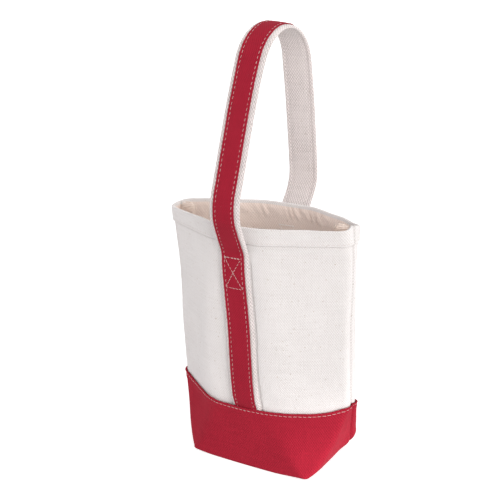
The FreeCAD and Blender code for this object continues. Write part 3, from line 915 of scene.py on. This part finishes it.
trim_canvas = canvas_finish(
    "trim_canvas", yarn_share=1.0, lean_share=0.6, crest=(0.465, 0.0176, 0.042, 1),
    hollow=(0.235, 0.0072, 0.0190, 1), tint=(0.372, 0.0142, 0.0332, 1), fleck=(0.48, 0.10, 0.11, 1),
    fleck_share=0.76, rough=0.80, matte=0.0, fuzz=0.02)
trim_ring = strip_ring(TRIM_WIDTH, TRIM_THICKNESS, TRIM_EDGE, TRIM_MIDDLE, TRIM_CROWN, (), (ROW_FURROW,))
trim_spread = 1 - NARROW_SHARE * ease(strap_places[:, 1:], NARROW_START, NARROW_END)
trim_waves = TRIM_SLACK * ripple(trim_ring[0], strap_along[:, None], TRIM_WAVE, TRIM_SEED)
trim = strip_piece("red_trim", trim_ring, trim_spread, trim_waves, trim_canvas)
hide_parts("front_trim", "back_trim", "front_trim_bend", "back_trim_bend", "handle_trim")
follow_handle(trim)


# Stitching
# Off-white thread in even lock stitches: two rows along the trim, a crossed box at the head of each
# sewn length, one row round the boot's edge and one along the hem, with the under thread on the inside.
STITCH_PITCH = 0.0054
SHORT_SHARE, LONG_SHARE = 0.58, 0.78
STITCH_SLANT = 0.00022
THREAD_RADIUS = 0.00021
ROW_SINK = 0.00005
STITCH_RUN_SHARES = np.array((0.0, 0.12, 0.35, 0.65, 0.88, 1.0))
STITCH_LIFT_SHARES = np.array((-0.9, 0.0, 0.45, 0.45, 0.0, -0.9))


def stitch_grids(places, normals, pitch, share):
    """Lengths of thread along a row of places, each a share of the pitch, slanting a little across the
    row and with its ends sunk into the cloth."""
    along = run_lengths(places)
    turn = np.linspace(0, 2 * math.pi, THREAD_SIDES, endpoint=False)[None, :, None]
    grids = []
    for first in np.arange(0, along[-1] - pitch * share, pitch):
        at = first + pitch * share * STITCH_RUN_SHARES
        middle = read_along(at, along, places)
        out = read_along(at, along, normals)
        ahead = np.gradient(middle, axis=0)
        across = np.cross(ahead, out)
        across /= np.linalg.norm(across, axis=1, keepdims=True)
        middle = middle + out * (THREAD_RADIUS * STITCH_LIFT_SHARES)[:, None]
        middle = middle + across * (STITCH_SLANT * (2 * STITCH_RUN_SHARES - 1))[:, None]
        ring = THREAD_RADIUS * (np.cos(turn) * across[:, None] + np.sin(turn) * out[:, None])
        points = middle[:, None] + ring
        grids.append((points, ring_weave(points, 2 * math.pi * THREAD_RADIUS), np.zeros(len(points))))
    return grids


sewing_thread = thread_finish("sewing_thread", (0.55, 0.47, 0.44, 1), (0.86, 0.78, 0.74, 1))
# The under thread is painted whiter than the top thread so that it reads light in the shade inside the bag.
under_thread_painted_light = thread_finish("under_thread_painted_light", (0.88, 0.86, 0.84, 1), (1.0, 1.0, 1.0, 1))


def sewn(name, grids, movement, thread=sewing_thread):
    """Piece of thread, handed to a movement: attached to the bag, or baked in place like the strap."""
    piece = cloth_piece(name, grids, [thread], closed=True)
    movement(piece)


def ride_bag(piece):
    """The piece stays where it is on the bag."""
    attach(piece, "bag")


def strap_row(across, off, outward):
    """Places and outward normals of a row of stitches along the whole strap."""
    places = on_strap(across * trim_spread, off)[:, 0]
    normals = outward * np.stack((0 * strap_along, strap_normals[:, 0], strap_normals[:, 1]), axis=1)
    return places, normals


def over_trim(across):
    """Height of the trim's face above the strap's middle."""
    crown = TRIM_CROWN * (1 - (2 * across / TRIM_WIDTH) ** 2)
    return TRIM_MIDDLE + TRIM_THICKNESS / 2 + crown - furrow(across, (ROW_FURROW,))


trim_rows = []
for across in (-ROW_REACH, ROW_REACH):
    outer = over_trim(across) - ROW_SINK
    inner = furrow(across, (ROW_FURROW,)) - STRAP_THICKNESS / 2
    trim_rows += stitch_grids(*strap_row(across, outer, 1), STITCH_PITCH, SHORT_SHARE)
    trim_rows += stitch_grids(*strap_row(across, inner, -1), STITCH_PITCH, SHORT_SHARE)
sewn("trim_stitching", trim_rows, follow_handle)

BOX_HEIGHT = 0.034
BACK_BOX_RISE = 0.0075
BOX_TOPS = {FRONT: RELEASE_HEIGHT, BACK: RELEASE_HEIGHT + BACK_BOX_RISE}
INSIDE_LIFT = 0.0003
BOX_PITCH = 0.0042
BOX_TOP_GAP = 0.0006
BOX_ROW_STEPS = 30


def box_lines(top):
    """Ends of the box's rows: across it, twice at the top, and from corner to corner."""
    low = top - BOX_HEIGHT
    second = top - BOX_TOP_GAP
    left, right = -ROW_REACH, ROW_REACH
    return (((left, top), (right, top)), ((left, second), (right, second)), ((left, low), (right, low)),
            ((left, low), (right, top)), ((left, top), (right, low)))


def box_row(start, end, side, inside):
    """Places and normals along one row of a box, on the trim or behind it on the inside of the panel."""
    share = np.linspace(0, 1, BOX_ROW_STEPS)
    across = start[0] + (end[0] - start[0]) * share
    z = start[1] + (end[1] - start[1]) * share
    leg = sewn_leg(side)
    x = across + np.interp(z, strap_places[leg, 1], strap_sway[leg])
    outer = side * np.interp(z, strap_places[leg, 1], strap_places[leg, 0]) + over_trim(across)
    inner = np.array([panel_depth(height) for height in z]) - CANVAS_THICKNESS - INSIDE_LIFT
    normals = np.zeros((len(share), 3))
    normals[:, 1] = -side if inside else side
    return np.stack((x, side * (inner if inside else outer), z), axis=1), normals


box_rows, under_rows = [], []
for side, top in BOX_TOPS.items():
    for start, end in box_lines(top):
        box_rows += stitch_grids(*box_row(start, end, side, False), BOX_PITCH, LONG_SHARE)
        under_rows += stitch_grids(*box_row(start, end, side, True), BOX_PITCH, LONG_SHARE)
sewn("box_stitching", box_rows, ride_bag)
# The under rows inside take the under thread with its painted light.
sewn("box_under_stitching", under_rows, ride_bag, under_thread_painted_light)

boot_rows, hem_rows = [], []
for side in (FRONT, BACK):
    row_reach = BOOT_OUTSIDE + BOOT_FOLD - BOOT_ROW_DIP
    points, normals, _ = boot_cloth(side, [BOOT_HEIGHT - BOOT_ROW_DROP], [row_reach])
    boot_rows += stitch_grids(points[0], normals[0], STITCH_PITCH, LONG_SHARE)
    hem_height = RIM_HEIGHT - HEM_DEPTH + HEM_ROW_RISE
    for reach, outward in ((HEM_FOLD, 1), (-CANVAS_THICKNESS - HEM_PAD, -1)):
        points, normals, _, _ = bag_cloth(side, [hem_height], [reach])
        hem_rows += stitch_grids(points[0], outward * normals[0], STITCH_PITCH, SHORT_SHARE)
sewn("boot_stitching", boot_rows, ride_bag)
sewn("hem_stitching", hem_rows, ride_bag)


# Studio
# A plain white floor and an even white surround. A broad lamp stands to the right in front, a weak one to
# the right behind, a pale pink one to the left and a small one low beside the boot. The camera looks from
# the right in front and a little above.
FLOOR_HALF = 12.0
FLOOR_COLOUR, FLOOR_GLOW, NO_GLOW = (0.8, 0.8, 0.8, 1), (0.64, 0.64, 0.64, 1), (0, 0, 0, 1)
SURROUND_COLOUR = (1, 1, 1, 1)
SURROUND_SHARE, SURROUND_SEEN_SHARE = 0.6, 0.4


def seen_white(tone):
    """1 where the camera looks at the white itself, straight or by way of a shiny or clear piece."""
    rays = ("Is Camera Ray", "Is Glossy Ray", "Is Transmission Ray")
    straight, shiny, clear = (tone.node("ShaderNodeLightPath", {}, {}, ray) for ray in rays)
    return straight + shiny + clear


def floor_finish():
    """White floor that takes the shadow, lifted to white where the camera looks at it."""
    material, shader, tone = start_finish("white_floor")
    shader.inputs["Base Color"].default_value = FLOOR_COLOUR
    shader.inputs["Roughness"].default_value = 1
    shader.inputs["Specular IOR Level"].default_value = 0
    tone.feed(shader.inputs["Emission Color"], tone.mix(seen_white(tone), NO_GLOW, FLOOR_GLOW))
    shader.inputs["Emission Strength"].default_value = 1
    return material


floor_mesh = bpy.data.meshes.new("floor")
floor_corners = [(-FLOOR_HALF, -FLOOR_HALF, 0), (FLOOR_HALF, -FLOOR_HALF, 0),
                 (FLOOR_HALF, FLOOR_HALF, 0), (-FLOOR_HALF, FLOOR_HALF, 0)]
floor_mesh.from_pydata(floor_corners, [], [(0, 1, 2, 3)])
floor_mesh.materials.append(floor_finish())
floor = bpy.data.objects.new("floor", floor_mesh)
bpy.context.collection.objects.link(floor)

# Broad lamps: name, azimuth and elevation in degrees, strength and colour
BROAD_LAMPS = (("key", 62, 14, 1.85, (1.0, 0.99, 0.985)),
               ("side", 120, 40, 0.3, (1.0, 0.99, 0.98)),
               ("fill", -60, 12, 0.82, (1.0, 0.92, 0.95)))
BROAD_LAMP_ANGLE = math.radians(50)
LOW_LAMP_PLACE = (0.443, -0.078, 0.03)
LOW_LAMP_AZIMUTH, LOW_LAMP_ELEVATION = 80, 12
LOW_LAMP_SIZE, LOW_LAMP_SPREAD = 0.16, math.radians(36)
LOW_LAMP_ENERGY = 0.09


def lamp(name, kind, azimuth, elevation, settings, place=(0, 0, 0)):
    """Lamp that shines from a direction given in degrees, like the camera's."""
    light = bpy.data.lights.new(name, kind)
    for setting, value in settings.items():
        setattr(light, setting, value)
    holder = bpy.data.objects.new(name, light)
    holder.location = place
    holder.rotation_euler = (math.radians(90 - elevation), 0, math.radians(azimuth))
    bpy.context.collection.objects.link(holder)


for name, azimuth, elevation, energy, colour in BROAD_LAMPS:
    lamp(name, "SUN", azimuth, elevation, {"energy": energy, "color": colour, "angle": BROAD_LAMP_ANGLE})
low_lamp = {"energy": LOW_LAMP_ENERGY, "size": LOW_LAMP_SIZE, "spread": LOW_LAMP_SPREAD}
lamp("low_lamp", "AREA", LOW_LAMP_AZIMUTH, LOW_LAMP_ELEVATION, low_lamp, LOW_LAMP_PLACE)

world = bpy.data.worlds.new("white_surround")
world.use_nodes = True
bpy.context.scene.world = world
surround = world.node_tree.nodes["Background"]
surround.inputs["Color"].default_value = SURROUND_COLOUR
surround_tone = Tone(world.node_tree)
surround_strength = seen_white(surround_tone) * SURROUND_SEEN_SHARE + SURROUND_SHARE
surround_tone.feed(surround.inputs["Strength"], surround_strength)

CAMERA_AZIMUTH, CAMERA_ELEVATION, CAMERA_ROLL = np.radians((33.93, 18.14, -2.20))
CAMERA_DISTANCE = 1.2479
CAMERA_TARGET = np.array((-0.01217, -0.00843, 0.23875))
CAMERA_LENS, CAMERA_SENSOR = 81.11, 36.0

camera = bpy.data.objects.new("camera", bpy.data.cameras.new("camera"))
camera.data.lens = CAMERA_LENS
camera.data.sensor_width = CAMERA_SENSOR
outward = np.array((math.sin(CAMERA_AZIMUTH), -math.cos(CAMERA_AZIMUTH), 0))
back = math.cos(CAMERA_ELEVATION) * outward + math.sin(CAMERA_ELEVATION) * np.array((0, 0, 1))
level_right = np.array((math.cos(CAMERA_AZIMUTH), math.sin(CAMERA_AZIMUTH), 0))
level_up = np.cross(back, level_right)
right = math.cos(CAMERA_ROLL) * level_right + math.sin(CAMERA_ROLL) * level_up
up = math.cos(CAMERA_ROLL) * level_up - math.sin(CAMERA_ROLL) * level_right
camera_matrix = np.eye(4)
camera_matrix[:3] = np.stack((right, up, back, CAMERA_TARGET + back * CAMERA_DISTANCE), axis=1)
camera.matrix_world = Matrix(camera_matrix.tolist())
bpy.context.collection.objects.link(camera)
bpy.context.scene.camera = camera
bpy.context.scene.view_settings.view_transform = "Standard"
